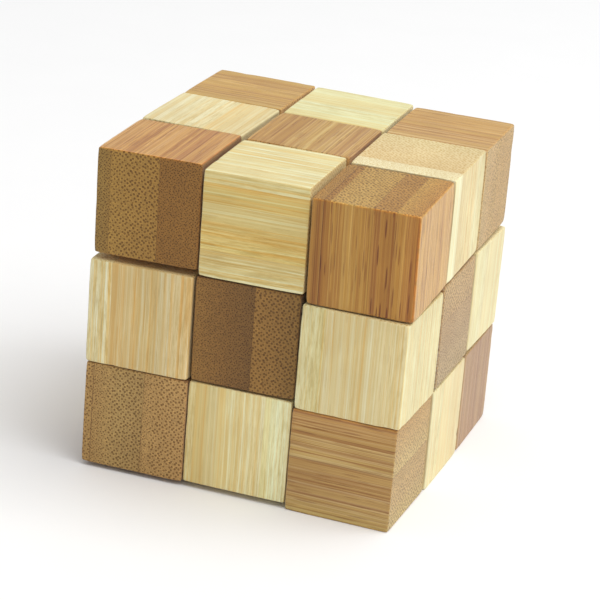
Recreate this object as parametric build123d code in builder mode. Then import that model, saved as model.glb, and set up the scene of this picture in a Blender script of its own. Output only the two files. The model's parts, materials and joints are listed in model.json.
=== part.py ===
from build123d import *
import os

# ---------------------------------------------------------------------------
# Snake cube: 27 equal wooden cubelets threaded on one elastic cord. Folded up
# it is a 3 x 3 x 3 cube. Dark and light cubelets alternate along the cord, so
# the closed cube is a three-dimensional checkerboard. Each cubelet is a loose
# piece: it lies a little off the regular grid and is turned by a degree or so.
#
# Millimetres. Origin at the middle of the closed cube's plan, on the surface it
# stands on. +X to the right along the wide front face, +Y to the back, +Z up.
# ---------------------------------------------------------------------------
SIDE = 15.0          # edge of one cubelet
PITCH = 15.35        # mean distance between neighbouring cubelets' centres
EASE = 0.3           # radius of a cubelet's sanded edges
BORE_R = 1.6         # drilled bore for the cord
BLIND = 11.5         # depth of the blind bore in the two end cubelets
CORD_R = 0.75        # elastic cord
CORD_GAP = 0.02      # each stretch of cord stops this far short of the next one
BEND_R = 3.0         # the cord's bend where two bores meet at a right angle
PEG_R = 1.58         # half-round wedge peg beside the cord in a blind bore
PEG_GAP = 0.02       # clearance between peg and cord
PEG_LENGTH = 7.0
SWIVEL = 4.2         # stretch of cord, inside the neighbour's bore, that turns when an end row swings
PLAN_CENTRE = (0.03, -0.125)  # middle of the cubelets' outline, measured on the regular grid

# One line for each cubelet, in the order of the cord:
# cell on the grid (left-right, front-back, bottom-top), offset from the grid,
# and turn about X, Y and Z in degrees. Heights are over the standing surface.
CHAIN = [
    ((0, 0, 2), (0.06, 0.15, 1.02), (0.45, -0.61, 0.30)),  #  1
    ((0, 1, 2), (-0.18, 0.31, 0.91), (-0.13, 0.19, -0.69)),  #  2
    ((0, 2, 2), (-0.10, 0.28, 0.75), (-0.48, 0.16, -0.10)),  #  3
    ((1, 2, 2), (-0.09, 0.02, 0.59), (0.11, 0.78, 0.28)),  #  4
    ((2, 2, 2), (0.06, -0.18, 0.28), (-0.00, 0.04, 0.44)),  #  5
    ((2, 1, 2), (0.10, -0.13, 0.33), (1.20, 0.00, 0.30)),  #  6
    ((2, 0, 2), (0.16, -0.30, -0.10), (2.40, -0.40, -0.12)),  #  7
    ((2, 0, 1), (-0.03, -0.31, -0.22), (0.06, -0.00, -1.20)),  #  8
    ((2, 0, 0), (-0.28, -0.09, 0.00), (0.00, 0.00, -1.20)),  #  9
    ((2, 1, 0), (0.10, 0.06, 0.00), (0.00, 0.00, -0.40)),  # 10
    ((2, 1, 1), (0.15, -0.05, 0.12), (0.50, -0.40, -0.29)),  # 11
    ((2, 2, 1), (0.25, -0.00, 0.10), (-1.51, -0.02, -0.12)),  # 12
    ((1, 2, 1), (0.05, 0.08, 0.18), (0.20, 0.10, -0.30)),  # 13
    ((0, 2, 1), (-0.10, 0.06, 0.30), (-0.20, 0.30, 0.25)),  # 14
    ((0, 1, 1), (-0.12, 0.02, 0.20), (0.10, -0.20, -0.35)),  # 15
    ((0, 0, 1), (-0.19, -0.14, 0.40), (0.11, -0.18, 0.53)),  # 16
    ((0, 0, 0), (-0.03, 0.02, 0.59), (0.00, 0.00, 0.24)),  # 17
    ((1, 0, 0), (-0.16, 0.21, 0.75), (0.00, 0.00, -0.45)),  # 18
    ((1, 0, 1), (-0.09, 0.23, 0.70), (0.17, -0.53, -0.19)),  # 19
    ((1, 0, 2), (0.03, -0.01, 0.64), (0.53, -0.21, 0.45)),  # 20
    ((1, 1, 2), (0.00, 0.03, 0.62), (-0.17, 0.41, 0.70)),  # 21
    ((1, 1, 1), (0.00, 0.05, 0.15), (0.00, 0.00, 0.00)),  # 22
    ((1, 1, 0), (0.00, 0.04, 0.00), (0.00, 0.00, 0.00)),  # 23
    ((0, 1, 0), (-0.04, 0.03, 0.00), (0.00, 0.00, 0.40)),  # 24
    ((0, 2, 0), (-0.08, 0.05, 0.00), (0.00, 0.00, -0.30)),  # 25
    ((1, 2, 0), (-0.02, -0.03, 0.00), (0.00, 0.00, 0.20)),  # 26
    ((2, 2, 0), (0.06, 0.12, 0.00), (0.00, 0.00, 0.40)),  # 27
]
COUNT = len(CHAIN)
MOVING_HEAD = 8      # cubelets 1 to 8 can be drawn out of the closed cube one after the other
MOVING_TAIL = 24     # and so can cubelets 24 to 27
HEAD_PIVOT = 3       # the end row 1-2-3 swings on the bore between 3 and 4
TAIL_PIVOT = 25      # the end row 25-26-27 swings on the bore between 24 and 25


def centre(n):
    (i, j, k), (dx, dy, dz), _ = CHAIN[n - 1]
    return Vector((i - 1) * PITCH + dx - PLAN_CENTRE[0],
                  (j - 1) * PITCH + dy - PLAN_CENTRE[1],
                  SIDE / 2 + k * PITCH + dz)


def turned(v, n):
    """A direction of the grid, carried round with cubelet n."""
    rx, ry, rz = CHAIN[n - 1][2]
    return Vector(v).rotate(Axis.X, rx).rotate(Axis.Y, ry).rotate(Axis.Z, rz)


def step(a, b):
    """Grid direction from cubelet a to cubelet b."""
    return Vector(*(q - p for p, q in zip(CHAIN[a - 1][0], CHAIN[b - 1][0])))


def kind(n):
    if n in (1, COUNT):
        return "end"
    return "straight" if step(n - 1, n) == step(n, n + 1) else "turn"


def wood(n):
    return "dark" if sum(CHAIN[n - 1][0]) % 2 == 0 else "light"


def meeting(n):
    """Where the cord passes from cubelet n to n + 1: halfway across the gap, on the swivel's axis at the two
    end rows' pivots."""
    a, b = centre(n), centre(n + 1)
    m = (a + b) / 2
    if n == HEAD_PIVOT:
        return Vector(m.X, b.Y, b.Z)
    if n + 1 == TAIL_PIVOT:
        return Vector(a.X, m.Y, a.Z)
    return m


def save(shape, name):
    shape.label = name
    export_step(shape, f"parts/{name}.step")


os.makedirs("parts", exist_ok=True)

# --- the 27 cubelets -------------------------------------------------------------------------------------------
for n in range(1, COUNT + 1):
    seat = Plane(origin=centre(n), x_dir=turned((1, 0, 0), n), z_dir=turned((0, 0, 1), n))
    mouths = []                                   # directions in which the cord leaves this cubelet
    if n > 1:
        mouths.append(step(n, n - 1))
    if n < COUNT:
        mouths.append(step(n, n + 1))
    depth = {"end": BLIND, "straight": SIDE / 2 + 0.5, "turn": SIDE / 2 + BORE_R}[kind(n)]
    with BuildPart(seat) as cubelet:
        Box(SIDE, SIDE, SIDE)
        fillet(cubelet.edges(), radius=EASE)
        for mouth in mouths:
            outward = turned(mouth, n)
            with BuildSketch(Plane(origin=centre(n) + outward * (SIDE / 2), z_dir=outward)) as drill:
                Circle(BORE_R)
            extrude(amount=-depth, mode=Mode.SUBTRACT)
    save(cubelet.part, f"cubelet_{n:02d}_{wood(n)}_{kind(n)}")

# --- the elastic cord ------------------------------------------------------------------------------------------
# One continuous cord. It is split where a cubelet can move away from its neighbour, so each moving cubelet
# carries its own stretch. Bends are one arc each.
def span(points, name):
    points = list(points)
    points[0] += (points[1] - points[0]).normalized() * CORD_GAP
    points[-1] += (points[-2] - points[-1]).normalized() * CORD_GAP
    with BuildPart() as cord:
        with BuildLine() as route:
            if len(points) == 2:
                Line(*points)
            else:
                FilletPolyline(*points, radius=BEND_R)
        way = route.wires()[0]
        with BuildSketch(Plane(origin=way @ 0, z_dir=way % 0)):
            Circle(CORD_R)
        sweep(path=way)
    save(cord.part, name)
    return way.length


cord_length = 0.0

# ends, deep in the blind bores, held by the wedge pegs
for n, other in ((1, 2), (COUNT, COUNT - 1)):
    along = step(n, other)
    way = meeting(min(n, other))
    tip = centre(n) - turned(along, n) * (BLIND - SIDE / 2 - 0.5)
    cord_length += span([tip, way], f"cord_span_{n:02d}")

# the other moving cubelets
for n in [m for m in range(2, MOVING_HEAD + 1)] + [m for m in range(MOVING_TAIL, COUNT)]:
    first, last = meeting(n - 1), meeting(n)
    if n == HEAD_PIVOT + 1:                        # the first stretch belongs to the swivel
        first = first + Vector(SWIVEL, 0, 0)
    if n == TAIL_PIVOT - 1:                        # the last stretch belongs to the swivel
        last = last - Vector(0, SWIVEL, 0)
    points = [first, last] if kind(n) == "straight" else [first, centre(n), last]
    cord_length += span(points, f"cord_span_{n:02d}")

# the two short swivels, true cylinders on the bore axes of cubelets 4 and 24
start = meeting(HEAD_PIVOT)
cord_length += span([start, start + Vector(SWIVEL, 0, 0)], "cord_swivel_head")
end = meeting(TAIL_PIVOT - 1)
cord_length += span([end - Vector(0, SWIVEL, 0), end], "cord_swivel_tail")

# the core, through the cubelets that stay locked while both ends are folded in
core = [meeting(MOVING_HEAD)]
core += [centre(n) for n in range(MOVING_HEAD + 1, MOVING_TAIL) if kind(n) == "turn"]
core += [meeting(MOVING_TAIL - 1)]
cord_length += span(core, "cord_core")
print("cord length in the closed cube, mm:", round(cord_length, 1))

# --- the wedge pegs ----------------------------------------------------------------------------------------------
# Half-round, driven into the blind bore beside the cord, flush with its blind end.
for n, other, name in ((1, 2, "wedge_peg_head"), (COUNT, COUNT - 1, "wedge_peg_tail")):
    along = turned(step(n, other), n)
    foot = centre(n) - along * (BLIND - SIDE / 2)
    with BuildPart() as peg:
        with BuildSketch(Plane(origin=foot + along * 0.1, x_dir=turned((0, 0, 1), n), z_dir=along)):
            Circle(PEG_R)
            Circle(CORD_R + 3 * PEG_GAP, mode=Mode.SUBTRACT)
            with Locations((-(PEG_R + 1) / 2 + 0.05, 0)):
                Rectangle(PEG_R + 1, 2 * PEG_R + 1, mode=Mode.SUBTRACT)
        extrude(amount=PEG_LENGTH)
    save(peg.part, name)
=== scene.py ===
import json
import math
import random

import bpy
import numpy as np
from mathutils import Matrix, Vector

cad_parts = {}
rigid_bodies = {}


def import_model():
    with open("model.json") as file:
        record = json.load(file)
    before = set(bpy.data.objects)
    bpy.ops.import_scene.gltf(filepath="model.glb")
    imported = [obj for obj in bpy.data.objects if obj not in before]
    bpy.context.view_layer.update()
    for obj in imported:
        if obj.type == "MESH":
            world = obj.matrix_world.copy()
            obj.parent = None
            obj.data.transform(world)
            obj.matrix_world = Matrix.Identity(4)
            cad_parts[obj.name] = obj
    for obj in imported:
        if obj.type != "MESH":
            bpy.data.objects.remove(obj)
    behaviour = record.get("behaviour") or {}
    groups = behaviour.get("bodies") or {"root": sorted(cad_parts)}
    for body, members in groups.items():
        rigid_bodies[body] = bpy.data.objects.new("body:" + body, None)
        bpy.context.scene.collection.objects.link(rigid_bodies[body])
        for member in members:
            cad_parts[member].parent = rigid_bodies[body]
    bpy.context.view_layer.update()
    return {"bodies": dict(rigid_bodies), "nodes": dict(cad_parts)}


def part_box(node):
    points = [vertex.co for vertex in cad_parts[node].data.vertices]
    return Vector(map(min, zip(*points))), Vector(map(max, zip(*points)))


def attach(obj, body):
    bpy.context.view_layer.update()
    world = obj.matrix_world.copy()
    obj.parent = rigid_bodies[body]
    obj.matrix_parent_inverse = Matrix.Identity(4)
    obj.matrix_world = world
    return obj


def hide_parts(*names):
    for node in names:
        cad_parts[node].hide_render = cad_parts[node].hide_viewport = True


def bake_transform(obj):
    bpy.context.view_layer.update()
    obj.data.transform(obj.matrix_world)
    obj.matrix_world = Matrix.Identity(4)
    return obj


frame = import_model()

MM = 0.001
HALF = 7.5           # half of a cubelet's edge, mm
BORE_R = 1.6
BLIND = 11.5
CORD_R = 0.75
BEND_R = 3.0
SWIVEL = 4.2
COUNT = 27
AXES = {"X": 0, "Y": 1, "Z": 2}

# ---------------------------------------------------------------------------------------------------------------
# Where each cubelet is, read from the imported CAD
# ---------------------------------------------------------------------------------------------------------------
NODE = {}
for name in frame["nodes"]:
    if name.startswith("cubelet_"):
        NODE[int(name.split("_")[1])] = name
BODY = {}
for body, empty in frame["bodies"].items():
    for child in empty.children:
        if child.name in NODE.values():
            BODY[int(child.name.split("_")[1])] = body


def seat_of(n):
    """Centre in mm and rotation of cubelet n: the midpoint of its box, and the normals of its flat faces."""
    low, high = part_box(NODE[n])
    centre = np.array((low + high) / 2) / MM
    mesh = frame["nodes"][NODE[n]].data
    area = np.zeros(len(mesh.polygons))
    normal = np.zeros(len(mesh.polygons) * 3)
    mesh.polygons.foreach_get("area", area)
    mesh.polygons.foreach_get("normal", normal)
    normal = normal.reshape(-1, 3)
    columns = []
    for a in range(3):
        near = np.where(normal[:, a] > 0.98)[0]
        best = normal[near[np.argmax(area[near])]]
        close = near[normal[near] @ best > 0.99995]
        v = (normal[close] * area[close, None]).sum(0)
        columns.append(v / np.linalg.norm(v))
    x, y, z = columns
    z = z / np.linalg.norm(z)
    x = x - z * (x @ z)
    x = x / np.linalg.norm(x)
    y = np.cross(z, x)
    return centre, np.array([x, y, z]).T


SEAT = {n: seat_of(n) for n in NODE}


def step(a, b):
    """Grid direction from cubelet a to its neighbour b on the cord."""
    d = SEAT[b][0] - SEAT[a][0]
    out = np.zeros(3)
    out[np.argmax(abs(d))] = np.sign(d[np.argmax(abs(d))])
    return out


def kind(n):
    return NODE[n].split("_")[3]


def wood(n):
    return NODE[n].split("_")[2]


# ---------------------------------------------------------------------------------------------------------------
# Small helpers
# ---------------------------------------------------------------------------------------------------------------
def wave_noise(p, rng, wavelength, terms=5):
    """A smooth value between about -1 and 1 at each point, from a few crossed waves."""
    out = np.zeros(len(p))
    for _ in range(terms):
        k = np.array([rng.gauss(0, 1) for _ in range(3)])
        k = k / np.linalg.norm(k) * (2 * math.pi / wavelength) * rng.uniform(0.7, 1.4)
        out += np.sin(p @ k + rng.uniform(0, 6.28))
    return out / terms * 1.6


def smoothstep(x, lo, hi):
    t = np.clip((x - lo) / (hi - lo), 0, 1)
    return t * t * (3 - 2 * t)


def make_object(name, verts, faces):
    mesh = bpy.data.meshes.new(name)
    mesh.from_pydata([tuple(v) for v in verts], [], [tuple(f) for f in faces])
    mesh.update()
    obj = bpy.data.objects.new(name, mesh)
    bpy.context.scene.collection.objects.link(obj)
    return obj


def set_attribute(mesh, name, kind_, values):
    a = mesh.attributes.new(name, kind_, "POINT")
    key = "vector" if kind_ == "FLOAT_VECTOR" else "value"
    a.data.foreach_set(key, np.asarray(values, np.float32).ravel())


# ---------------------------------------------------------------------------------------------------------------
# One cubelet's mesh: a sawn and sanded block with uneven eased edges, small knocks and the drilled bores
# ---------------------------------------------------------------------------------------------------------------
NEAR_EDGE = [0.0, 0.04, 0.09, 0.145, 0.21, 0.29, 0.40, 0.58, 0.9]
MIDDLE = 25
LINES = np.array(
    [-HALF + d for d in NEAR_EDGE]
    + list(np.linspace(-HALF + NEAR_EDGE[-1], HALF - NEAR_EDGE[-1], MIDDLE + 1)[1:-1])
    + [HALF - d for d in reversed(NEAR_EDGE)]
)


def block_points():
    """The corners of a fine grid laid over a cube, and its squares."""
    n = len(LINES)
    points, faces, seen = [], [], {}

    def at(p):
        key = (round(p[0], 4), round(p[1], 4), round(p[2], 4))
        if key not in seen:
            seen[key] = len(points)
            points.append(p)
        return seen[key]

    for axis in range(3):
        for sign in (-1, 1):
            a, b = (axis + 1) % 3, (axis + 2) % 3
            ids = np.zeros((n, n), int)
            for i in range(n):
                for j in range(n):
                    p = [0.0, 0.0, 0.0]
                    p[axis] = HALF * sign
                    p[a] = float(LINES[i])
                    p[b] = float(LINES[j])
                    ids[i, j] = at(tuple(p))
            for i in range(n - 1):
                for j in range(n - 1):
                    quad = (ids[i, j], ids[i + 1, j], ids[i + 1, j + 1], ids[i, j + 1])
                    faces.append(quad if sign > 0 else quad[::-1])
    return np.array(points), faces


GRID, GRID_FACES = block_points()
EDGES = []
for _axis in range(3):
    for _s in (-1, 1):
        for _t in (-1, 1):
            _d = np.zeros(3)
            _d[(_axis + 1) % 3], _d[(_axis + 2) % 3] = _s, _t
            EDGES.append((_axis, _d))


def eased(rng, dark):
    """The block's points after sanding: each edge has its own radius, which wanders along it, and a few knocks."""
    q = GRID
    weights, radii = np.zeros(len(q)), np.zeros(len(q))
    for axis, d in EDGES:
        away = np.linalg.norm((q - d * HALF) * (d != 0), axis=1)
        w = 1 / (away**2 + 0.04)
        weights += w
        radii += w * rng.uniform(0.13, 0.27)
    r = radii / weights
    r = r + 0.03 * wave_noise(q, rng, 5.0) + 0.025 * wave_noise(q, rng, 1.4, 7)
    near = smoothstep(np.sort(abs(q), axis=1)[:, 0], HALF - 2.2, HALF)
    r = np.clip(r + 0.11 * near, 0.10, 0.42)[:, None]
    inner = np.clip(q, -(HALF - r), HALF - r)
    out = q - inner
    p = inner + out / np.linalg.norm(out, axis=1)[:, None] * r
    normal = out / np.linalg.norm(out, axis=1)[:, None]
    corner = smoothstep(np.sort(abs(p), axis=1)[:, 0], HALF - 0.9, HALF - 0.2)
    p = p - normal * (0.025 * corner * (1 + wave_noise(q, rng, 3.0)))[:, None]
    for _ in range(rng.randint(4, 7) + (3 if dark else 0)):
        axis, d = rng.choice(EDGES)
        at = d * HALF
        at[axis] = rng.uniform(-6.6, 6.6)
        length, width = rng.uniform(0.3, 1.1), rng.uniform(0.12, 0.32)
        depth = rng.uniform(0.03, 0.11)
        rel = p - at
        along = rel[:, axis] / length
        across = np.linalg.norm(np.delete(rel, axis, axis=1), axis=1) / (width + 0.18)
        fall = np.exp(-(along**2) - across**2)
        p = p - (d / math.sqrt(2))[None, :] * (depth * fall)[:, None]
    # the sander leaves each face very slightly uneven
    flat = 1 - smoothstep(np.sort(abs(q), axis=1)[:, 1], HALF - 0.6, HALF - 0.2)
    dip = 0.012 * (1 + wave_noise(q, rng, 7.0, 4)) * (0.25 + 0.75 * flat)
    return p - normal * np.clip(dip, 0, 0.04)[:, None]


def drill(direction, depth):
    """A drill with a small countersink: it leaves a bore of that depth under the face it enters."""
    rings = [(-depth, 0.0), (-depth - 0.001, BORE_R), (-0.16, BORE_R), (0.0, BORE_R + 0.13), (0.6, BORE_R + 0.62), (0.6, 0.0)]
    rings[0] = (-depth - 0.35, 0.0)
    n = 48
    d = np.array(direction, float)
    a = np.roll(d, 1)
    b = np.cross(d, a)
    verts, faces = [], []
    for h, r in rings:
        if r == 0:
            verts.append(d * (HALF + h))
        else:
            for i in range(n):
                t = 2 * math.pi * i / n
                verts.append(d * (HALF + h) + (a * math.cos(t) + b * math.sin(t)) * r)
    first = 1
    for i in range(n):
        faces.append((0, first + (i + 1) % n, first + i))
    for k in range(3):
        s, e = first + k * n, first + (k + 1) * n
        for i in range(n):
            faces.append((s + i, s + (i + 1) % n, e + (i + 1) % n, e + i))
    last = len(verts) - 1
    s = first + 3 * n
    for i in range(n):
        faces.append((s + i, s + (i + 1) % n, last))
    return verts, faces


def bored(obj, mouths, depth):
    cutters = []
    for i, m in enumerate(mouths):
        c = make_object(f"{obj.name}_drill_{i}", *drill(m, depth))
        cutters.append(c)
        mod = obj.modifiers.new(f"bore_{i}", "BOOLEAN")
        mod.operation = "DIFFERENCE"
        mod.object = c
        mod.solver = "MANIFOLD"
    bpy.context.view_layer.update()
    dg = bpy.context.evaluated_depsgraph_get()
    done = bpy.data.meshes.new_from_object(obj.evaluated_get(dg))
    obj.modifiers.clear()
    old = obj.data
    obj.data = done
    bpy.data.meshes.remove(old)
    for c in cutters:
        m = c.data
        bpy.data.objects.remove(c)
        bpy.data.meshes.remove(m)


def mark_sharp(mesh, degrees):
    """Smooth shading, with a crease where two faces meet at more than this angle."""
    count = len(mesh.polygons)
    normal = np.zeros(count * 3)
    mesh.polygons.foreach_get("normal", normal)
    normal = normal.reshape(-1, 3)
    totals = np.zeros(count, int)
    mesh.polygons.foreach_get("loop_total", totals)
    owner = np.repeat(np.arange(count), totals)
    edge = np.zeros(len(mesh.loops), int)
    mesh.loops.foreach_get("edge_index", edge)
    order = np.argsort(edge, kind="stable")
    e, f = edge[order], owner[order]
    pair = np.where(e[:-1] == e[1:])[0]
    bend = (normal[f[pair]] * normal[f[pair + 1]]).sum(1)
    sharp = np.zeros(len(mesh.edges), bool)
    sharp[e[pair][bend < math.cos(math.radians(degrees))]] = True
    mesh.polygons.foreach_set("use_smooth", np.ones(count, bool))
    a = mesh.attributes.get("sharp_edge") or mesh.attributes.new("sharp_edge", "BOOLEAN", "EDGE")
    a.data.foreach_set("value", sharp)


# ---------------------------------------------------------------------------------------------------------------
# Node helper
# ---------------------------------------------------------------------------------------------------------------
def linear(c):
    return tuple(x / 12.92 if x <= 0.04045 else ((x + 0.055) / 1.055) ** 2.4 for x in (v / 255 for v in c))


class Nodes:
    def __init__(self, name):
        self.mat = bpy.data.materials.new(name)
        self.mat.use_nodes = True
        self.tree = self.mat.node_tree
        self.tree.nodes.clear()

    def new(self, kind_, **settings):
        n = self.tree.nodes.new(kind_)
        for k, v in settings.items():
            setattr(n, k, v)
        return n

    def put(self, socket, value):
        if isinstance(value, bpy.types.NodeSocket):
            self.tree.links.new(value, socket)
        elif isinstance(value, (tuple, list)):
            socket.default_value = tuple(value) + ((1.0,) if len(value) == 3 and len(socket.default_value) == 4 else ())
        else:
            socket.default_value = value

    def math(self, op, a, b=0.0, c=0.0, clamp=False):
        n = self.new("ShaderNodeMath", operation=op, use_clamp=clamp)
        self.put(n.inputs[0], a)
        self.put(n.inputs[1], b)
        if op in ("MULTIPLY_ADD",):
            self.put(n.inputs[2], c)
        return n.outputs[0]

    def add(self, a, b):
        return self.math("ADD", a, b)

    def sub(self, a, b):
        return self.math("SUBTRACT", a, b)

    def mul(self, a, b):
        return self.math("MULTIPLY", a, b)

    def mad(self, a, b, c):
        return self.math("MULTIPLY_ADD", a, b, c)

    def vec(self, x, y, z):
        n = self.new("ShaderNodeCombineXYZ")
        for s, v in zip(n.inputs, (x, y, z)):
            self.put(s, v)
        return n.outputs[0]

    def split(self, v):
        n = self.new("ShaderNodeSeparateXYZ")
        self.put(n.inputs[0], v)
        return n.outputs[0], n.outputs[1], n.outputs[2]

    def attribute(self, name, vector=False):
        n = self.new("ShaderNodeAttribute", attribute_name=name, attribute_type="GEOMETRY")
        return n.outputs["Vector"] if vector else n.outputs["Fac"]

    def noise(self, v, detail=2.0, rough=0.5, scale=1.0):
        n = self.new("ShaderNodeTexNoise", noise_dimensions="3D")
        self.put(n.inputs["Vector"], v)
        n.inputs["Scale"].default_value = scale
        n.inputs["Detail"].default_value = detail
        n.inputs["Roughness"].default_value = rough
        return n.outputs[0]

    def voronoi(self, v, dims="2D", randomness=0.85, feature="F1"):
        n = self.new("ShaderNodeTexVoronoi", voronoi_dimensions=dims, feature=feature)
        self.put(n.inputs["Vector"], v)
        n.inputs["Scale"].default_value = 1.0
        n.inputs["Randomness"].default_value = randomness
        return n.outputs["Distance"], n.outputs["Color"]

    def smooth(self, x, lo, hi, out_lo=0.0, out_hi=1.0):
        n = self.new("ShaderNodeMapRange", interpolation_type="SMOOTHSTEP")
        self.put(n.inputs["Value"], x)
        self.put(n.inputs["From Min"], lo)
        self.put(n.inputs["From Max"], hi)
        n.inputs["To Min"].default_value = out_lo
        n.inputs["To Max"].default_value = out_hi
        return n.outputs[0]

    def lerp(self, f, a, b):
        n = self.new("ShaderNodeMix", data_type="FLOAT")
        self.put(n.inputs[0], f)
        self.put(n.inputs[2], a)
        self.put(n.inputs[3], b)
        return n.outputs[0]

    def colour(self, f, a, b, blend="MIX"):
        n = self.new("ShaderNodeMix", data_type="RGBA", blend_type=blend, clamp_factor=True)
        self.put(n.inputs[0], f)
        self.put(n.inputs[6], a)
        self.put(n.inputs[7], b)
        return n.outputs[2]

    def ramp(self, x, stops, interpolation="LINEAR"):
        n = self.new("ShaderNodeValToRGB")
        cr = n.color_ramp
        cr.interpolation = interpolation
        while len(cr.elements) > 1:
            cr.elements.remove(cr.elements[-1])
        cr.elements[0].position = stops[0][0]
        cr.elements[0].color = tuple(stops[0][1]) + (1.0,)
        for pos, col in stops[1:]:
            e = cr.elements.new(pos)
            e.color = tuple(col) + (1.0,)
        self.put(n.inputs[0], x)
        return n.outputs[0]

    def value_ramp(self, x, stops, interpolation="LINEAR"):
        col = self.ramp(x, [(p, (v, v, v)) for p, v in stops], interpolation)
        n = self.new("ShaderNodeSeparateColor")
        self.put(n.inputs[0], col)
        return n.outputs[0]


# ---------------------------------------------------------------------------------------------------------------
# Laminated bamboo. u runs across the glued strips, v along each strip's width, w along the fibres (mm).
# ---------------------------------------------------------------------------------------------------------------
def strip_stops(strips, what):
    """Ramp stops from strips: each strip is (start, end, ...) in parts of the width, values run from its first to last."""
    eps = 0.0015
    stops = []
    for i, s in enumerate(strips):
        values = s[what]
        lo = s["from"] + (eps if i else 0.0)
        hi = s["to"] - (eps if i < len(strips) - 1 else 0.0)
        m = len(values)
        for k, v in enumerate(values):
            t = 0.0 if m == 1 else k / (m - 1)
            stops.append((lo + (hi - lo) * t, v))
        if m == 1:
            stops.append((hi, values[0]))
    return stops


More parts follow.
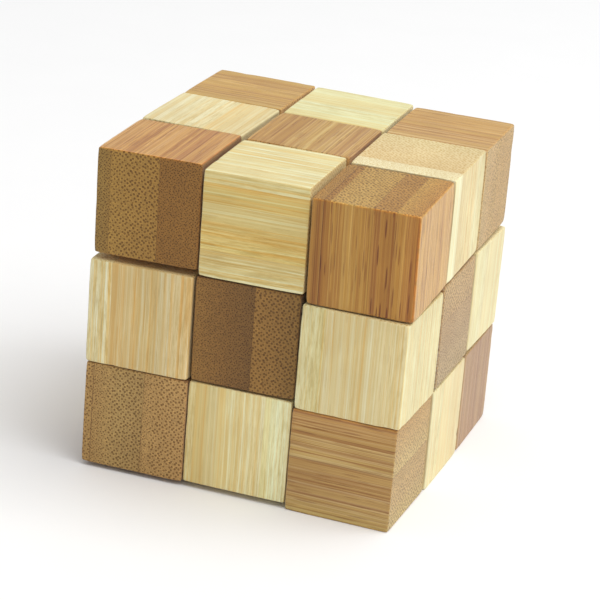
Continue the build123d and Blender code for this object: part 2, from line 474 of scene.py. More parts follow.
def bamboo(name, dark, strips, face_gains_with_light, seed, even=0.0, contrast=1.0):
    """strips: list of dicts with from, to, tint (albedo colours across the strip) and pores (0 small and dense, 1 large
    and sparse). face_gains_with_light: the albedo multipliers of the faces across u, across v and of the end grain,
    partly the real cut of the wood and partly painted light, with the lit faces made lighter and whiter. even: how far
    the strips share one tone on the long faces. contrast: how strongly the lines of the fibres show."""
    g = Nodes(name)
    rng = random.Random(seed)
    off = rng.uniform(-40, 40)
    u, v, w = g.split(g.attribute("grain", True))
    fu, fv, fw = g.split(g.attribute("facing", True))
    edge = g.attribute("edge")
    bore = g.attribute("bore")
    part = g.mad(u, 1 / 15, 0.5)

    # each strip has its own pattern
    if len(strips) > 1:
        shift = g.value_ramp(part, [(s["from"], (0.11 + 0.37 * i) % 1.0) for i, s in enumerate(strips)], "CONSTANT")
        shift = g.mad(shift, 60.0, off)
    else:
        shift = off
    vs = g.add(v, shift)

    # the fibres wander a little along their length
    slow = g.noise(g.vec(g.mad(u, 0.10, off), g.mul(vs, 0.10), g.mul(w, 0.055)), 1.0, 0.4)
    fine = g.noise(g.vec(g.mul(u, 0.9), g.mul(vs, 0.9), g.mad(w, 0.10, off)), 1.0, 0.5)
    u1 = g.mad(slow, 0.34, g.mad(fine, 0.09, g.add(u, -0.21)))
    v1 = g.mad(slow, -0.42, g.mad(fine, 0.10, g.add(vs, 0.16)))

    # vascular bundles, set in a diamond lattice: small and close near the culm's skin, larger and farther apart inside
    pores = g.value_ramp(part, strip_stops(strips, "pores"))
    sum_, dif = g.add(u1, v1), g.sub(u1, v1)
    d_small, c_small = g.voronoi(g.vec(g.mul(sum_, 1.95), g.mul(dif, 1.95), 0.0), randomness=0.66)
    d_large, c_large = g.voronoi(g.vec(g.mul(sum_, 1.38), g.mul(dif, 1.38), 0.0), randomness=0.52)
    pick = g.smooth(g.mad(fine, 0.22, pores), 0.42, 0.66)
    distance = g.lerp(pick, d_small, d_large)
    own = g.new("ShaderNodeSeparateColor")
    g.put(own.inputs[0], g.colour(pick, c_small, c_large))
    own_r, own_g = own.outputs[0], own.outputs[1]
    radius = g.mad(pores, 0.045, g.mad(own_r, 0.07, 0.220))
    dot = g.smooth(distance, g.add(radius, 0.10), g.add(radius, -0.08))
    heart = g.mul(g.smooth(distance, g.mul(radius, 0.55), g.mul(radius, 0.20)), pick)
    ring = g.mul(g.smooth(distance, g.add(radius, 0.30), g.add(radius, 0.12)), g.smooth(distance, radius, g.add(radius, 0.10)))
    dot = g.mul(dot, g.mad(own_g, 0.25, 0.80))

    # small bright cells of the ground tissue
    d_cell, c_cell = g.voronoi(g.vec(g.mul(u1, 1 / 0.16), g.mul(v1, 1 / 0.16), g.mul(w, 0.5)), "3D", 1.0)
    cells = g.smooth(d_cell, 0.50, 0.18)
    speck = g.noise(g.vec(g.mul(u1, 3.1), g.mul(v1, 3.1), g.mad(w, 0.3, off)), 3.0, 0.75)

    # lines of the fibres on the long faces: many fine ones inside a few broad ones
    stripes = g.noise(g.vec(g.mul(u1, 1.9), g.mul(v1, 1.9), g.mad(w, 0.007, off)), 6.0, 0.85)
    threads = g.noise(g.vec(g.mul(u1, 5.2), g.mul(v1, 5.2), g.mad(w, 0.022, off * 0.7)), 2.0, 0.7)
    broad = g.noise(g.vec(g.mul(u1, 0.42), g.mul(v1, 0.42), g.mad(w, 0.010, off)), 2.0, 0.55)
    cloud = g.noise(g.vec(g.mul(u, 0.16), g.mul(vs, 0.16), g.mad(w, 0.10, off)), 3.0, 0.5)
    d_dash, c_dash = g.voronoi(g.vec(g.mul(u1, 1 / 0.44), g.mul(v1, 1 / 0.44), g.mad(w, 1 / 6.5, off)), "3D", 1.0)
    dash = g.smooth(d_dash, 0.29, 0.20)
    pale = g.smooth(g.noise(g.vec(g.mul(u1, 2.05), g.mul(v1, 2.05), g.mad(w, 0.005, off * 1.3)), 2.0, 0.7), 0.52, 0.56)
    deep = g.smooth(g.noise(g.vec(g.mul(u1, 1.75), g.mul(v1, 1.75), g.mad(w, 0.008, off * 0.4)), 3.0, 0.75), 0.46, 0.42)
    dashes = g.value_ramp(part, strip_stops(strips, "dash"))

    base = g.ramp(part, strip_stops(strips, "tint"))
    tints = [c for s in strips for c in s["tint"]]
    mean = tuple(sum(c[k] for c in tints) / len(tints) for k in range(3))
    side = g.colour(even, base, mean)

    # end grain: dark bundles in pale ground tissue
    if dark:
        end = g.colour(1.0, base, (1.16, 1.17, 1.18), "MULTIPLY")
        end = g.colour(g.mul(ring, 0.75), end, (1.26, 1.26, 1.24), "MULTIPLY")
        end = g.colour(g.mul(dot, 0.92), end, (0.42, 0.34, 0.24), "MULTIPLY")
        end = g.colour(g.mul(heart, 0.35), end, (1.55, 1.5, 1.45), "MULTIPLY")
        end = g.colour(g.mul(cells, 0.34), end, (1.42, 1.42, 1.38), "MULTIPLY")
        end = g.colour(1.0, end, g.ramp(speck, [(0.34, (0.80, 0.79, 0.78)), (0.5, (1.0, 1.0, 1.0)), (0.66, (1.20, 1.20, 1.20))]), "MULTIPLY")
    else:
        end = g.colour(1.0, base, (1.03, 1.04, 1.06), "MULTIPLY")
        end = g.colour(g.mul(dot, 0.95), end, (0.80, 0.68, 0.46), "MULTIPLY")
        end = g.colour(g.mul(cells, 0.3), end, (1.08, 1.09, 1.12), "MULTIPLY")
        end = g.colour(1.0, end, g.ramp(speck, [(0.34, (0.93, 0.90, 0.84)), (0.5, (1.0, 1.0, 1.0)), (0.66, (1.05, 1.06, 1.10))]), "MULTIPLY")

    # long grain
    if dark:
        lines = g.colour(g.mul(dot, 0.22), side, (0.66, 0.54, 0.46), "MULTIPLY")
        tones = g.ramp(stripes, [(0.30, (0.52, 0.38, 0.30)), (0.39, (0.74, 0.60, 0.50)), (0.455, (0.95, 0.90, 0.86)), (0.50, (1.02, 1.02, 1.02)), (0.57, (1.08, 1.12, 1.20)), (0.66, (1.22, 1.36, 1.66))])
        lines = g.colour(0.95, lines, tones, "MULTIPLY")
        fine_tones = g.ramp(threads, [(0.30, (0.80, 0.72, 0.66)), (0.42, (0.96, 0.94, 0.92)), (0.55, (1.02, 1.02, 1.02)), (0.70, (1.18, 1.20, 1.24))])
        lines = g.colour(0.85, lines, fine_tones, "MULTIPLY")
        lines = g.colour(g.mul(pale, 0.50), lines, (1.15, 1.30, 1.90), "MULTIPLY")
        lines = g.colour(g.mul(deep, 0.65), lines, (0.70, 0.52, 0.44), "MULTIPLY")
        lines = g.colour(g.mul(g.smooth(broad, 0.52, 0.36), 0.40), lines, (0.88, 0.77, 0.70), "MULTIPLY")
        lines = g.colour(g.mul(dash, dashes), lines, (0.50, 0.33, 0.26), "MULTIPLY")
    else:
        lines = g.colour(g.mul(dot, 0.12), side, (0.88, 0.80, 0.62), "MULTIPLY")
        tones = g.ramp(stripes, [(0.31, (0.95, 0.76, 0.44)), (0.40, (1.0, 0.86, 0.62)), (0.455, (1.0, 0.95, 0.86)), (0.50, (0.99, 0.99, 0.98)), (0.55, (0.94, 0.97, 0.98)), (0.60, (1.03, 1.08, 1.20)), (0.68, (1.08, 1.18, 1.42))])
        lines = g.colour(0.95 * contrast, lines, tones, "MULTIPLY")
        fine_tones = g.ramp(threads, [(0.30, (0.90, 0.84, 0.72)), (0.42, (0.98, 0.97, 0.94)), (0.55, (1.01, 1.01, 1.02)), (0.70, (1.07, 1.12, 1.22))])
        lines = g.colour(0.95 * contrast, lines, fine_tones, "MULTIPLY")
        lines = g.colour(g.mul(pale, 0.90 * contrast), lines, (1.08, 1.20, 1.50), "MULTIPLY")
        lines = g.colour(g.mul(deep, 0.85 * contrast), lines, (0.95, 0.81, 0.58), "MULTIPLY")
        lines = g.colour(g.mul(g.smooth(broad, 0.54, 0.36), 0.35), lines, (0.99, 0.91, 0.74), "MULTIPLY")
        lines = g.colour(g.mul(g.mul(dash, dashes), 0.5), lines, (0.80, 0.66, 0.48), "MULTIPLY")
        fleck = g.ramp(speck, [(0.38, (0.87, 0.83, 0.73)), (0.5, (1.0, 1.0, 1.0)), (0.62, (1.07, 1.11, 1.22))])
        lines = g.colour(g.smooth(pores, 0.35, 0.9), lines, g.colour(1.0, lines, fleck, "MULTIPLY"))

    body = g.colour(fw, lines, end)
    body = g.colour(g.smooth(cloud, 0.38, 0.66), g.colour(1.0, body, (0.965, 0.955, 0.945), "MULTIPLY"), g.colour(1.0, body, (1.035, 1.04, 1.05), "MULTIPLY"))

    # glue lines between the strips
    for a, b in zip(strips, strips[1:]):
        at = (a["to"] - 0.5) * 15
        gap = g.math("ABSOLUTE", g.sub(g.add(u, g.mad(fine, 0.10, -0.05)), at))
        line = g.smooth(gap, 0.085, 0.02)
        body = g.colour(g.mul(line, a.get("glue", 0.5)), body, (0.50, 0.42, 0.36) if dark else (0.84, 0.74, 0.58), "MULTIPLY")

    # the faces' tone: partly the real cut of the wood, partly painted light, with the lit faces made lighter and whiter
    # as a painted sheen
    tone = g.colour(fv, face_gains_with_light[0], face_gains_with_light[1])
    tone = g.colour(fw, tone, face_gains_with_light[2])
    body = g.colour(1.0, body, tone, "MULTIPLY")

    # sanded edges made lighter: partly real rubbed wear, partly a painted highlight where the eased edges catch the
    # light; the walls of the drilled bores darker
    rub = g.noise(g.vec(g.mul(u, 0.8), g.mul(vs, 0.8), g.mul(w, 0.8)), 3.0, 0.65)
    wear_and_highlight = g.mul(edge, g.smooth(rub, 0.34, 0.56))
    if dark:
        body = g.colour(g.mul(wear_and_highlight, 0.75), body, (1.50, 1.28, 0.98), "MULTIPLY")
    else:
        body = g.colour(g.mul(wear_and_highlight, 0.7), body, (1.06, 1.08, 1.16), "MULTIPLY")
    body = g.colour(g.mul(bore, 0.75), body, (0.62, 0.55, 0.46), "MULTIPLY")

    # surface
    rough = g.lerp(fw, g.mad(stripes, 0.20, 0.40), g.mad(dot, 0.10, 0.60))
    rough = g.add(rough, g.mul(bore, 0.15))
    height_side = g.mad(stripes, 0.9, g.mad(threads, 0.45, g.mul(dash, -0.5)))
    height_end = g.mad(dot, -0.5, g.mad(heart, -0.25, g.mad(cells, 0.22, g.mul(speck, 0.35))))
    height = g.lerp(fw, height_side, height_end)
    bump = g.new("ShaderNodeBump")
    bump.inputs["Strength"].default_value = 0.75
    bump.inputs["Distance"].default_value = 0.00007
    g.put(bump.inputs["Height"], height)

    shader = g.new("ShaderNodeBsdfPrincipled")
    out = g.new("ShaderNodeOutputMaterial")
    g.put(shader.inputs["Base Color"], body)
    g.put(shader.inputs["Roughness"], rough)
    g.put(shader.inputs["Normal"], bump.outputs[0])
    shader.inputs["IOR"].default_value = 1.47
    shader.inputs["Specular IOR Level"].default_value = 0.45
    shader.inputs["Sheen Weight"].default_value = SHEEN
    shader.inputs["Sheen Roughness"].default_value = 0.45
    shader.inputs["Sheen Tint"].default_value = (1.0, 0.96, 0.90, 1.0)
    g.tree.links.new(shader.outputs[0], out.inputs[0])
    return g.mat


SHEEN = 0.22
# Brightness of a white surface in this light, for a colour read on the front, the top or the right of the closed cube
LIT = {"front": 0.835, "top": 1.02, "right": 1.00}
VEIL = {"front": (0.012, 0.012, 0.012), "top": (0.05, 0.05, 0.05), "right": (0.06, 0.06, 0.06)}


def albedo(rgb, face):
    return tuple(min(0.97, max(0.01, (c - s) / LIT[face])) for c, s in zip(linear(rgb), VEIL[face]))


def S(a, b, tints, pores, glue=0.5, dash=0.35):
    return {"from": a, "to": b, "rgb": tints, "pores": pores, "glue": glue, "dash": [dash]}


# For each visible cubelet: fibre direction, direction across the strips, the face its colours are written for, and
# its strips. Each strip has one to three tones, as that face looks in soft light.
LOOK = {
    1: ("Y", "+X", "front", [
        S(0, 0.13, [(138, 110, 68), (140, 108, 64)], [0.1, 0.3], 0.4),
        S(0.13, 0.60, [(150, 116, 68), (148, 112, 64)], [0.42, 0.7, 1.0], 0.3),
        S(0.60, 1, [(132, 94, 52)], [0.0, 0.12, 0.34])]),
    20: ("X", "-Z", "front", [
        S(0, 0.115, [(206, 184, 128)], [0.6, 0.7], 0.2),
        S(0.115, 0.30, [(202, 170, 104), (200, 176, 114), (198, 168, 104)], [0.1, 0.3], 0.3),
        S(0.30, 0.74, [(200, 176, 120), (198, 168, 100)], [0.4, 0.9], 0.4),
        S(0.74, 1, [(200, 176, 120), (200, 180, 128), (204, 184, 132)], [0.5, 0.9])]),
    7: ("Z", "+X", "front", [
        S(0, 0.11, [(156, 112, 64), (152, 108, 60)], [0.1, 0.25], 0.9, 0.15),
        S(0.11, 0.17, [(148, 102, 56), (154, 108, 60)], [1.0], 0.0, 1.0),
        S(0.17, 0.56, [(170, 128, 74), (174, 134, 80), (168, 126, 72)], [1.0, 0.8], 0.5, 0.45),
        S(0.56, 0.77, [(160, 114, 64), (156, 110, 60)], [0.7, 0.6], 0.0, 1.0),
        S(0.77, 1, [(172, 128, 72), (168, 116, 64)], [0.5, 0.3], 0.5, 0.7)]),
    16: ("Z", "+X", "front", [
        S(0, 0.22, [(206, 192, 142), (210, 196, 146)], [0.8, 0.9], 0.5),
        S(0.22, 0.66, [(200, 174, 118), (192, 168, 112)], [0.2, 0.6], 0.35),
        S(0.66, 1, [(198, 178, 126), (208, 184, 130)], [0.5, 0.9])]),
    19: ("Y", "+X", "front", [
        S(0, 0.57, [(136, 100, 60), (124, 90, 54), (110, 80, 50)], [0.05, 0.12, 0.2, 0.28], 0.6),
        S(0.57, 1, [(140, 104, 62), (134, 100, 60), (120, 90, 52)], [0.75, 0.95, 1.0])]),
    8: ("Z", "+X", "front", [
        S(0, 0.235, [(208, 196, 146), (210, 200, 148)], [0.85, 0.9], 0.6),
        S(0.235, 1, [(208, 190, 138), (212, 192, 138)], [0.1, 0.4, 0.7])]),
    17: ("Y", "+X", "front", [
        S(0, 0.08, [(152, 120, 76)], [0.5, 0.5], 0.9),
        S(0.08, 0.58, [(152, 120, 76), (152, 124, 80), (146, 118, 76)], [0.15, 0.5, 0.9, 1.0], 0.5),
        S(0.58, 1, [(156, 124, 80), (162, 128, 84)], [0.3, 0.7, 0.95])]),
    18: ("Z", "+X", "front", [
        S(0, 0.075, [(204, 186, 136)], [0.8, 0.8], 0.4),
        S(0.075, 0.30, [(200, 176, 118), (200, 178, 126)], [0.2, 0.4], 0.3),
        S(0.30, 0.75, [(212, 192, 138), (216, 196, 144)], [0.4, 0.7], 0.3),
        S(0.75, 1, [(216, 202, 148), (214, 202, 152), (204, 188, 138)], [0.6, 0.9])]),
    9: ("X", "-Z", "front", [
        S(0, 0.46, [(172, 130, 80), (170, 134, 86), (178, 148, 98)], [0.2, 0.5, 0.8], 0.7),
        S(0.46, 1, [(166, 130, 84), (166, 132, 88), (172, 144, 94)], [0.2, 0.6, 0.9])]),
    2: ("Y", "+X", "top", [
        S(0, 0.60, [(230, 218, 170), (234, 224, 176)], [0.4, 0.9], 0.4),
        S(0.60, 1, [(236, 220, 166), (224, 208, 156)], [0.1, 0.6])]),
    21: ("Y", "+X", "top", [
        S(0, 0.32, [(196, 154, 104), (190, 148, 100)], [0.1, 0.5], 0.5),
        S(0.32, 0.78, [(200, 162, 114), (206, 172, 120), (204, 168, 120)], [0.3, 0.9], 0.4),
        S(0.78, 1, [(200, 160, 116), (204, 166, 118)], [0.2, 0.5])]),
    6: ("Z", "+Y", "top", [
        S(0, 0.21, [(240, 228, 184), (238, 224, 180)], [0.2, 0.4], 0.6),
        S(0.21, 1, [(224, 198, 146), (230, 208, 158), (224, 206, 156)], [0.6, 1.0, 0.9])]),
    3: ("X", "+Y", "top", [
        S(0, 0.55, [(200, 164, 114), (204, 166, 114), (208, 170, 116)], [0.2, 0.7], 0.5),
        S(0.55, 1, [(208, 170, 118), (200, 160, 108), (200, 164, 114)], [0.1, 0.6])]),
    4: ("X", "+Y", "top", [
        S(0, 0.47, [(238, 224, 172), (240, 232, 184), (238, 228, 180)], [0.5, 0.9], 0.4),
        S(0.47, 1, [(236, 220, 168), (240, 230, 180)], [0.2, 0.8])]),
    5: ("X", "+Y", "top", [
        S(0, 0.5, [(210, 176, 126), (206, 168, 120), (204, 166, 112)], [0.2, 0.7], 0.5),
        S(0.5, 1, [(208, 168, 116), (204, 164, 112), (200, 162, 112)], [0.1, 0.6])]),
    11: ("X", "-Z", "right", [
        S(0, 0.38, [(208, 180, 138), (200, 172, 136)], [0.7, 1.0], 0.5),
        S(0.38, 1, [(196, 168, 134), (192, 168, 138), (192, 172, 140)], [0.1, 0.3, 0.7])]),
    12: ("Z", "+Y", "right", [
        S(0, 0.42, [(244, 232, 186), (244, 236, 190), (244, 232, 188)], [0.5, 0.9], 0.4),
        S(0.42, 1, [(244, 232, 186)], [0.2, 0.8])]),
    10: ("Z", "+Y", "right", [
        S(0, 0.33, [(244, 232, 186)], [0.6, 0.9], 0.4),
        S(0.33, 1, [(244, 228, 180), (242, 224, 176), (244, 228, 184)], [0.2, 0.8])]),
    27: ("Z", "+Y", "right", [
        S(0, 0.44, [(196, 170, 132), (194, 166, 128)], [0.3, 0.8], 0.5),
        S(0.44, 1, [(192, 164, 126), (194, 168, 130)], [0.2, 0.7])]),
}
# How much each edge is lightened, by the two faces that meet there: partly real rubbing down to fresher wood, partly a
# painted highlight, strongest on the front-top edge that catches the light
EDGE_WEAR_AND_HIGHLIGHT = {
    1: {"-Y+Z": 1.0, "+X+Z": 0.7, "+X-Y": 0.35},
    7: {"-Y+Z": 0.8, "+X-Y": 1.0, "+X+Z": 0.3},
    20: {"-Y+Z": 0.9, "-X-Y": 0.6, "+X-Y": 0.4},
    8: {"-Y+Z": 0.9, "-X-Y": 0.7},
    9: {"-Y+Z": 0.6},
    16: {"-Y+Z": 0.5},
}
EVEN = {1: 0.75}
CONTRAST = {20: 1.0, 16: 1.0, 18: 0.78, 8: 0.75, 2: 0.6, 4: 0.55, 6: 0.6, 12: 0.45, 10: 0.5}
# Tone of the faces across u, across v and of the end grain: partly the real cut of the wood, partly painted light, with
# faces made lighter, darker or whiter for the light that falls on them
FACE_GAIN_WITH_LIGHT = {n: [(1.0, 1.0, 1.0)] * 3 for n in range(1, COUNT + 1)}
FACE_GAIN_WITH_LIGHT.update({
    1: [(1.0, 1.0, 1.0), (1.9, 1.9, 1.9), (0.85, 0.85, 0.6)],
    2: [(1.0, 1.0, 1.0), (1.05, 1.0, 0.95), (1.0, 1.0, 1.0)],
    3: [(1.0, 1.0, 1.0), (1.05, 1.05, 0.7), (1.0, 1.0, 1.0)],
    4: [(1.0, 1.0, 1.0), (1.0, 1.05, 1.0), (1.0, 1.0, 1.0)],
    5: [(1.0, 1.0, 1.0), (1.05, 1.05, 0.8), (0.8, 0.85, 0.8)],
    6: [(1.0, 1.0, 1.0), (1.15, 1.25, 1.25), (1.05, 1.05, 1.05)],
    7: [(1.4, 1.9, 1.9), (1.05, 1.05, 0.65), (0.85, 0.95, 0.85)],
    8: [(1.05, 1.15, 1.2), (1.0, 1.0, 1.0), (1.0, 1.0, 1.0)],
    9: [(1.0, 1.0, 1.0), (1.1, 1.15, 0.95), (0.95, 1.05, 1.0)],
    10: [(1.0, 1.0, 1.0), (1.0, 1.0, 0.9), (1.0, 1.0, 1.0)],
    11: [(1.0, 1.0, 1.0), (1.0, 1.0, 1.0), (0.8, 0.75, 0.6)],
    12: [(1.0, 1.0, 1.0), (1.0, 1.0, 0.9), (1.0, 1.0, 1.0)],
    16: [(1.0, 1.0, 1.0), (1.05, 1.05, 1.1), (1.0, 1.0, 1.0)],
    17: [(1.0, 1.0, 1.0), (1.0, 1.0, 1.0), (0.95, 0.95, 0.85)],
    18: [(1.0, 1.0, 1.0), (1.05, 1.1, 1.1), (1.0, 1.0, 1.0)],
    19: [(1.0, 1.0, 1.0), (1.0, 1.0, 1.0), (0.85, 0.85, 0.6)],
    20: [(1.1, 1.25, 1.45), (1.05, 1.1, 1.05), (1.0, 1.0, 1.0)],
    21: [(1.0, 1.0, 1.0), (1.0, 1.0, 0.7), (1.0, 1.0, 1.0)],
    27: [(1.0, 1.0, 1.0), (0.9, 0.75, 0.6), (1.0, 1.0, 1.0)],
})


def hidden_look(n):
    """A look for a cubelet that no photograph shows: the same two woods, other strips."""
    rng = random.Random(900 + n)
    w = rng.choice("XYZ")
    u = rng.choice([a for a in "XYZ" if a != w])
    cuts = sorted(rng.sample([0.18, 0.3, 0.42, 0.55, 0.66, 0.8], rng.choice((1, 2))))
    if len(cuts) == 2 and cuts[1] - cuts[0] < 0.2:
        cuts = cuts[:1]
    edges = [0.0] + cuts + [1.0]
    strips = []
    for a, b in zip(edges, edges[1:]):
        t = rng.uniform(-8, 8)
        if wood(n) == "dark":
            c = [(148 + t + rng.uniform(-5, 5), 113 + t + rng.uniform(-3, 3), 68 + t * 0.6 + rng.uniform(-3, 3)) for _ in range(3)]
        else:
            c = [(205 + t * 0.5 + rng.uniform(-4, 4), 184 + t + rng.uniform(-4, 4), 130 + t * 1.4 + rng.uniform(-5, 5)) for _ in range(3)]
        p = [rng.uniform(0.0, 0.25), rng.uniform(0.7, 1.0)]
        if rng.random() < 0.5:
            p.reverse()
        strips.append(S(a, b, c, p, rng.uniform(0.3, 0.6)))
    return (w, rng.choice("+-") + u, "front", strips)


def make_cubelet(n):
    rng = random.Random(1000 + n)
    centre, turn = SEAT[n]
    dark = wood(n) == "dark"
    fibre, across, face, strips = LOOK.get(n) or hidden_look(n)
    obj = make_object("wood_" + NODE[n][8:], eased(rng, dark), GRID_FACES)
    mouths = []
    if n > 1:
        mouths.append(step(n, n - 1))
    if n < COUNT:
        mouths.append(step(n, n + 1))
    depth = {"end": BLIND, "straight": HALF + 0.5, "turn": HALF + BORE_R}[kind(n)]
    bored(obj, mouths, depth)
    mesh = obj.data
    mark_sharp(mesh, 32)

    co = np.zeros(len(mesh.vertices) * 3)
    mesh.vertices.foreach_get("co", co)
    co = co.reshape(-1, 3)
    no = np.zeros(len(mesh.vertices) * 3)
    mesh.vertices.foreach_get("normal", no)
    no = no.reshape(-1, 3)
    wa, ua = AXES[fibre], AXES[across[1]]
    va = 3 - wa - ua
    flip = 1.0 if across[0] == "+" else -1.0
    grain = np.stack([co[:, ua] * flip, co[:, va], co[:, wa]], 1)
    facing = abs(np.stack([no[:, ua], no[:, va], no[:, wa]], 1)) ** 5
    facing = facing / facing.sum(1)[:, None]
    ordered = np.sort(abs(co), axis=1)
    # edge: nearness to an edge, scaled by that edge's wear and painted highlight
    edge = np.zeros(len(co))
    for axis, d in EDGES:
        key = "".join(("+" if d[a] > 0 else "-") + "XYZ"[a] for a in range(3) if d[a])
        strength = EDGE_WEAR_AND_HIGHLIGHT.get(n, {}).get(key, rng.uniform(0.0, 0.25))
        off_edge = np.linalg.norm((co - d * HALF) * (d != 0), axis=1)
        edge = np.maximum(edge, strength * (1 - smoothstep(off_edge, 0.10, 0.36)))
    away = np.full(len(co), 9.0)
    for m in mouths:
        flat = co - np.outer(co @ m, m)
        away = np.minimum(away, np.where(co @ m > -2, np.linalg.norm(flat, axis=1), 9.0))
    bore = (1 - smoothstep(away, BORE_R + 0.02, BORE_R + 0.14)) * (ordered[:, 2] < HALF - 0.03)
    set_attribute(mesh, "grain", "FLOAT_VECTOR", grain)
    set_attribute(mesh, "facing", "FLOAT_VECTOR", facing)
    set_attribute(mesh, "edge", "FLOAT", edge)
    set_attribute(mesh, "bore", "FLOAT", bore)

    m4 = Matrix.Identity(4)
    for r in range(3):
        for c in range(3):
            m4[r][c] = turn[r][c] * MM
        m4[r][3] = centre[r] * MM
    mesh.transform(m4)
    mesh.update()

    for s in strips:
        s["tint"] = [albedo(c, face) for c in s["rgb"]]
    mesh.materials.clear()
    mesh.materials.append(bamboo("bamboo_" + NODE[n][8:], dark, strips, FACE_GAIN_WITH_LIGHT[n], 50 + n, EVEN.get(n, 0.0), CONTRAST.get(n, 0.8)))
    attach(obj, BODY[n])
    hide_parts(NODE[n])
    return obj


for n in range(1, COUNT + 1):
    make_cubelet(n)

# ---------------------------------------------------------------------------------------------------------------
# The elastic cord: a braided sleeve, in pieces along one route through every cubelet. The pieces by the two pivots, the
# two swivels and through the core ride those bodies; the rest stay where they are.
# ---------------------------------------------------------------------------------------------------------------
HEAD_PIVOT, TAIL_PIVOT = 3, 25


def meeting(n):
    a, b = SEAT[n][0], SEAT[n + 1][0]
    m = (a + b) / 2
    if n == HEAD_PIVOT:
        return np.array([m[0], b[1], b[2]])
    if n + 1 == TAIL_PIVOT:
        return np.array([a[0], m[1], a[2]])
    return m


def rounded_route(points, radius, pitch):
    """Points along a polyline whose corners are rounded, close together, with the distance of each along it."""
    points = [np.array(p, float) for p in points]
    pieces = [points[0]]
    marks = []
    for a, b, c in zip(points, points[1:], points[2:]):
        d1 = (b - a) / np.linalg.norm(b - a)
        d2 = (c - b) / np.linalg.norm(c - b)
        angle = math.acos(max(-1, min(1, d1 @ d2)))
        if angle < 1e-3:
            marks.append(b)
            continue
        cut = radius * math.tan(angle / 2)
        start, end = b - d1 * cut, b + d2 * cut
        middle = b + (d2 - d1) / np.linalg.norm(d2 - d1) * radius / math.cos(angle / 2)
        pieces.append(start)
        steps = 14
        for k in range(1, steps):
            t = angle * k / steps
            pieces.append(middle + (start - middle) * math.cos(t) + d1 * radius * math.sin(t))
        pieces.append(end)
    pieces.append(points[-1])
    pieces = np.array(pieces)
    seg = np.linalg.norm(np.diff(pieces, axis=0), axis=1)
    keep = np.concatenate([[True], seg > 1e-6])
    pieces = pieces[keep]
    seg = np.linalg.norm(np.diff(pieces, axis=0), axis=1)
    run = np.concatenate([[0], np.cumsum(seg)])
    count = max(2, int(round(run[-1] / pitch)))
    at = np.linspace(0, run[-1], count + 1)
    return np.stack([np.interp(at, run, pieces[:, k]) for k in range(3)], 1), at


def tube(name, path, at, phase):
    """A braided tube: two families of raised yarns cross over and under one another."""
    around = 36
    tangents = np.gradient(path, axis=0)
    tangents /= np.linalg.norm(tangents, axis=1)[:, None]
    side = np.cross(tangents[0], [0.31, 0.52, 0.79])
    side /= np.linalg.norm(side)
    verts, uvs = [], []
    for i, (p, t) in enumerate(zip(path, tangents)):
        side = side - t * (side @ t)
        side /= np.linalg.norm(side)
        up = np.cross(t, side)
        s = at[i] + phase
        for k in range(around):
            th = 2 * math.pi * k / around
            a = 0.5 + 0.5 * math.cos(6 * th + s * 2 * math.pi / 1.5)
            b = 0.5 + 0.5 * math.cos(6 * th - s * 2 * math.pi / 1.5)
            over = 0.5 + 0.5 * math.cos(6 * th) * math.cos(s * 2 * math.pi / 1.5)
            h = max(a**0.7 * (0.55 + 0.45 * over), b**0.7 * (1.0 - 0.45 * over))
            r = CORD_R * (0.90 + 0.10 * h)
            verts.append(p + (side * math.cos(th) + up * math.sin(th)) * r)
            uvs.append((th, s, h))
    faces = []
    rows = len(path)
    for i in range(rows - 1):
        for k in range(around):
            a, b = i * around + k, i * around + (k + 1) % around
            faces.append((a, b, b + around, a + around))
    verts.append(path[0])
    verts.append(path[-1])
    uvs += [(0, at[0] + phase, 0.5), (0, at[-1] + phase, 0.5)]
    first, last = len(verts) - 2, len(verts) - 1
    for k in range(around):
        faces.append((first, (k + 1) % around, k))
        faces.append((last, (rows - 1) * around + k, (rows - 1) * around + (k + 1) % around))
    obj = make_object(name, np.array(verts) * MM, faces)
    mesh = obj.data
    set_attribute(mesh, "yarn", "FLOAT_VECTOR", uvs)
    mesh.polygons.foreach_set("use_smooth", np.ones(len(mesh.polygons), bool))
    mesh.materials.append(CORD_MATERIAL)
    return obj


def cord_material():
    g = Nodes("braided_elastic")
    th, s, h = g.split(g.attribute("yarn", True))
    # fine filaments in each yarn, a painted sheen on the crowns of the yarns and painted shade in the dips between
    # them, and lighter patches along the cord
    f = g.noise(g.vec(g.mul(g.math("COSINE", th), 9.0), g.mul(g.math("SINE", th), 9.0), g.mul(s, 14.0)), 3.0, 0.7)
    slow = g.noise(g.vec(g.mul(g.math("COSINE", th), 1.2), g.mul(g.math("SINE", th), 1.2), g.mul(s, 0.4)), 2.0, 0.5)
    # painted light: yarn crowns lighter as a painted sheen, the dips between yarns darker as painted shade
    base = g.ramp(g.smooth(h, 0.35, 1.0), [(0.0, (0.006, 0.006, 0.007)), (0.55, (0.018, 0.017, 0.018)), (1.0, (0.040, 0.038, 0.038))])
    base = g.colour(g.mul(g.smooth(f, 0.5, 0.75), 0.6), base, (1.7, 1.7, 1.75), "MULTIPLY")
    base = g.colour(g.mul(g.smooth(slow, 0.45, 0.7), 0.4), base, (1.5, 1.4, 1.3), "MULTIPLY")
    bump = g.new("ShaderNodeBump")
    bump.inputs["Strength"].default_value = 0.6
    bump.inputs["Distance"].default_value = 0.00003
    g.put(bump.inputs["Height"], f)
    shader = g.new("ShaderNodeBsdfPrincipled")
    out = g.new("ShaderNodeOutputMaterial")
    g.put(shader.inputs["Base Color"], base)
    g.put(shader.inputs["Roughness"], g.mad(f, 0.25, 0.50))
    g.put(shader.inputs["Normal"], bump.outputs[0])
    shader.inputs["Sheen Weight"].default_value = 0.35
    shader.inputs["Sheen Roughness"].default_value = 0.4
    shader.inputs["Sheen Tint"].default_value = (0.8, 0.8, 0.85, 1.0)
    g.tree.links.new(shader.outputs[0], out.inputs[0])
    return g.mat


CORD_MATERIAL = cord_material()
PITCH_ALONG = 0.12
C = {n: SEAT[n][0] for n in SEAT}

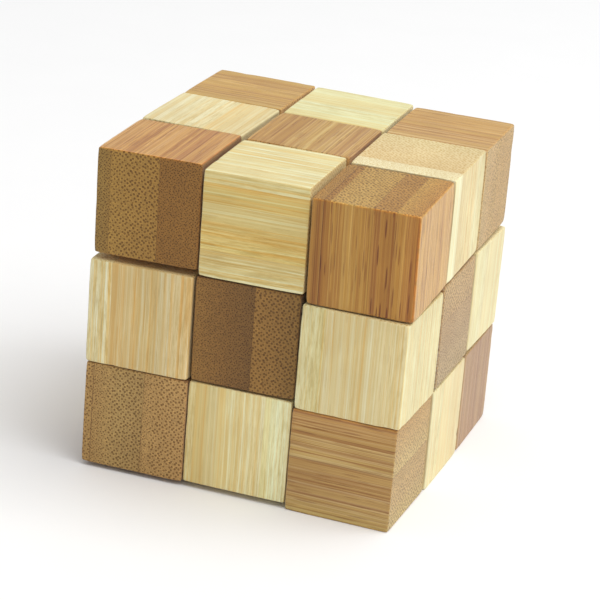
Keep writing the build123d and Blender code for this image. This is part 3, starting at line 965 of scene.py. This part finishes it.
# the whole cord as one route through every cubelet, with rounded bends
knots = []
tip_head = C[1] - (SEAT[1][1] @ step(1, 2)) * (BLIND - HALF - 0.5)
tip_tail = C[27] - (SEAT[27][1] @ step(27, 26)) * (BLIND - HALF - 0.5)
corners = [tip_head]
for n in range(1, COUNT + 1):
    if kind(n) == "turn":
        corners.append(C[n])
    if n < COUNT:
        corners.append(meeting(n))
corners.append(tip_tail)
route, run = rounded_route(corners, BEND_R, PITCH_ALONG)


def nearest(p):
    return int(np.argmin(((route - p) ** 2).sum(1)))


MID = {n: nearest(C[n]) for n in range(1, COUNT + 1)}
MID[1] = 0
MID[COUNT] = len(route) - 1
GATE = {n: nearest(meeting(n)) for n in range(1, COUNT)}
SWIVEL_HEAD = nearest(meeting(3) + np.array([SWIVEL, 0, 0]))
SWIVEL_TAIL = nearest(meeting(24) - np.array([0, SWIVEL, 0]))


def cord_piece(name, first, last, nodes, ride=None):
    obj = tube(name, route[first : last + 1], run[first : last + 1], 0.0)
    if ride:
        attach(obj, ride)
    else:
        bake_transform(obj)
    if nodes:
        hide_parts(*nodes)
    return obj


cord_piece("cord_01_02", MID[1], MID[2], ["cord_span_01"])
cord_piece("cord_02_03", MID[2], MID[3], ["cord_span_02"])
cord_piece("cord_pivot_head", MID[3], GATE[3], ["cord_span_03"], ride=BODY[3])
cord_piece("cord_turning_head", GATE[3], SWIVEL_HEAD, ["cord_swivel_head"], ride="swivel_head")
cord_piece("cord_04_05", SWIVEL_HEAD + 1, MID[5], ["cord_span_04"])
cord_piece("cord_05_06", MID[5], MID[6], ["cord_span_05"])
cord_piece("cord_06_07", MID[6], MID[7], ["cord_span_06"])
cord_piece("cord_07_08", MID[7], MID[8], ["cord_span_07"])
cord_piece("cord_08_09", MID[8], MID[9], ["cord_span_08"])
cord_piece("cord_through_core", MID[9], MID[23], ["cord_core"], ride=BODY[9])
cord_piece("cord_23_24", MID[23], SWIVEL_TAIL, ["cord_span_24"])
cord_piece("cord_turning_tail", SWIVEL_TAIL, GATE[24], ["cord_swivel_tail"], ride="swivel_tail")
cord_piece("cord_pivot_tail", GATE[24], MID[25], ["cord_span_25"], ride=BODY[25])
cord_piece("cord_25_26", MID[25], MID[26], ["cord_span_26"])
cord_piece("cord_26_27", MID[26], MID[27], ["cord_span_27"])


# ---------------------------------------------------------------------------------------------------------------
# The wedge pegs keep their CAD shape
# ---------------------------------------------------------------------------------------------------------------
def peg_material():
    g = Nodes("peg_wood_split")
    co = g.new("ShaderNodeTexCoord").outputs["Object"]
    x, y, z = g.split(co)
    lines = g.noise(g.vec(g.mul(x, 5200.0), g.mul(y, 260.0), g.mul(z, 5200.0)), 4.0, 0.65)
    spots = g.noise(g.vec(g.mul(x, 900.0), g.mul(y, 300.0), g.mul(z, 900.0)), 2.0, 0.5)
    base = g.ramp(lines, [(0.30, (0.42, 0.25, 0.11)), (0.50, (0.60, 0.42, 0.22)), (0.70, (0.72, 0.55, 0.33))])
    base = g.colour(g.mul(g.smooth(spots, 0.45, 0.65), 0.5), base, (0.78, 0.70, 0.60), "MULTIPLY")
    bump = g.new("ShaderNodeBump")
    bump.inputs["Strength"].default_value = 0.7
    bump.inputs["Distance"].default_value = 0.00004
    g.put(bump.inputs["Height"], lines)
    shader = g.new("ShaderNodeBsdfPrincipled")
    out = g.new("ShaderNodeOutputMaterial")
    g.put(shader.inputs["Base Color"], base)
    g.put(shader.inputs["Roughness"], g.mad(lines, 0.2, 0.55))
    g.put(shader.inputs["Normal"], bump.outputs[0])
    g.tree.links.new(shader.outputs[0], out.inputs[0])
    return g.mat


PEG_MATERIAL = peg_material()
for name in ("wedge_peg_head", "wedge_peg_tail"):
    mesh = frame["nodes"][name].data
    mesh.materials.clear()
    mesh.materials.append(PEG_MATERIAL)

# ---------------------------------------------------------------------------------------------------------------
# Floor, light and camera
# ---------------------------------------------------------------------------------------------------------------
def floor():
    n, size = 24, 3.0
    verts, faces = [], []
    for i in range(n + 1):
        for j in range(n + 1):
            verts.append(((i / n - 0.5) * 2 * size, (j / n - 0.5) * 2 * size, -0.00002))
    for i in range(n):
        for j in range(n):
            a = i * (n + 1) + j
            faces.append((a, a + n + 1, a + n + 2, a + 1))
    obj = make_object("floor", verts, faces)
    g = Nodes("pale_floor")
    co = g.new("ShaderNodeTexCoord").outputs["Object"]
    grain = g.noise(co, 2.0, 0.5, 60.0)
    shader = g.new("ShaderNodeBsdfPrincipled")
    out = g.new("ShaderNodeOutputMaterial")
    g.put(shader.inputs["Base Color"], g.ramp(grain, [(0.0, (0.93, 0.93, 0.93)), (1.0, (0.95, 0.95, 0.95))]))
    shader.inputs["Roughness"].default_value = 0.9
    shader.inputs["Specular IOR Level"].default_value = 0.1
    g.tree.links.new(shader.outputs[0], out.inputs[0])
    obj.data.materials.append(g.mat)


floor()

world = bpy.data.worlds.new("studio")
bpy.context.scene.world = world
world.use_nodes = True
world.node_tree.nodes["Background"].inputs["Color"].default_value = (1.0, 1.0, 1.0, 1.0)
world.node_tree.nodes["Background"].inputs["Strength"].default_value = 0.52


def soft_box(name, place, watts, size):
    light = bpy.data.lights.new(name, "AREA")
    light.shape = "SQUARE"
    light.size = size
    light.energy = watts
    obj = bpy.data.objects.new(name, light)
    obj.location = place
    obj.rotation_mode = "QUATERNION"
    obj.rotation_quaternion = (Vector((0, 0, 0.023)) - Vector(place)).to_track_quat("-Z", "Y")
    bpy.context.scene.collection.objects.link(obj)


soft_box("key", (0.43, -0.02, 0.95), 9.0, 0.95)

camera = bpy.data.cameras.new("camera")
camera.sensor_width = 36.0
camera.lens = 155.55
camera.clip_start, camera.clip_end = 0.01, 20.0
cam = bpy.data.objects.new("camera", camera)
bpy.context.scene.collection.objects.link(cam)
cam.matrix_world = Matrix((
    (0.939403, -0.186475, 0.287663, 0.106036),
    (0.333896, 0.307521, -0.891035, -0.328788),
    (0.077693, 0.933090, 0.351149, 0.151221),
    (0.0, 0.0, 0.0, 1.0),
))
bpy.context.scene.camera = cam
bpy.context.scene.view_settings.view_transform = "Standard"

bpy.context.view_layer.update()
